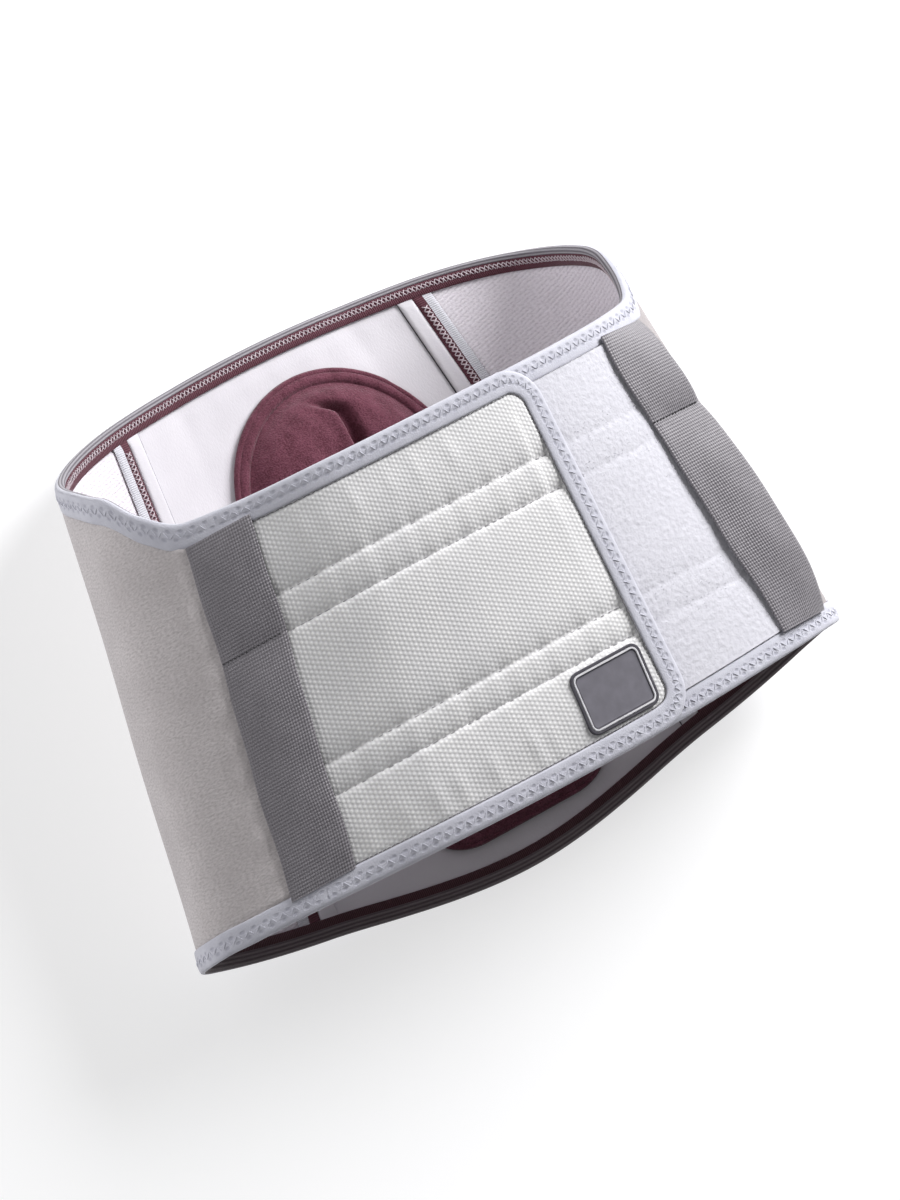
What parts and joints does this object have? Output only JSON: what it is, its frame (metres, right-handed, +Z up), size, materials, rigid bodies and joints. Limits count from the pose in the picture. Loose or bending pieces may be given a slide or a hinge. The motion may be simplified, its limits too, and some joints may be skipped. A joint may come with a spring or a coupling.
{
  "type": "lumbosacral brace",
  "caption": "Wide fabric brace for the lower back, closed at the front by an overlapping hook-and-loop flap, with hand straps, bound edges and a shaped pad inside the back.",
  "frame": {"origin": "on the surface that the brace lies on, under the middle of its box", "axes": "+X to the right as the front is seen, +Y to the upper edge, +Z up through the back panel towards the closed front"},
  "size_m": [0.3662, 0.276, 0.1452],
  "materials": {
    "lining": "smooth pale lavender-white lining cloth",
    "knit": "matt taupe-grey elastic knit with fine ribs",
    "weave": "off-white coarse dotted weave, quilted",
    "pile": "fuzzy white loop pile",
    "webbing": "grey ribbed webbing",
    "binding": "folded grey edging tape with zigzag stitches",
    "burgundy": "dark burgundy tape with pale stitches",
    "velour": "burgundy velour, padded",
    "rubber": "satin dark-grey moulded rubber"
  },
  "bodies": {
    "root": {"back_panel": "lining", "side_panel_left": "knit", "side_panel_right": "knit", "under_panel": "weave", "loop_pile": "pile", "closure_flap": "weave", "binding_upper": "binding", "binding_lower": "binding", "binding_flap": "binding", "facing_upper": "burgundy", "facing_lower": "burgundy", "seam_tape_left": "burgundy", "seam_tape_right": "burgundy", "stay_channel_left": "lining", "stay_channel_right": "lining", "hand_strap_left": "webbing", "hand_strap_right": "webbing", "lumbar_pad": "velour", "label_patch": "rubber"}
  },
  "joints": []
}
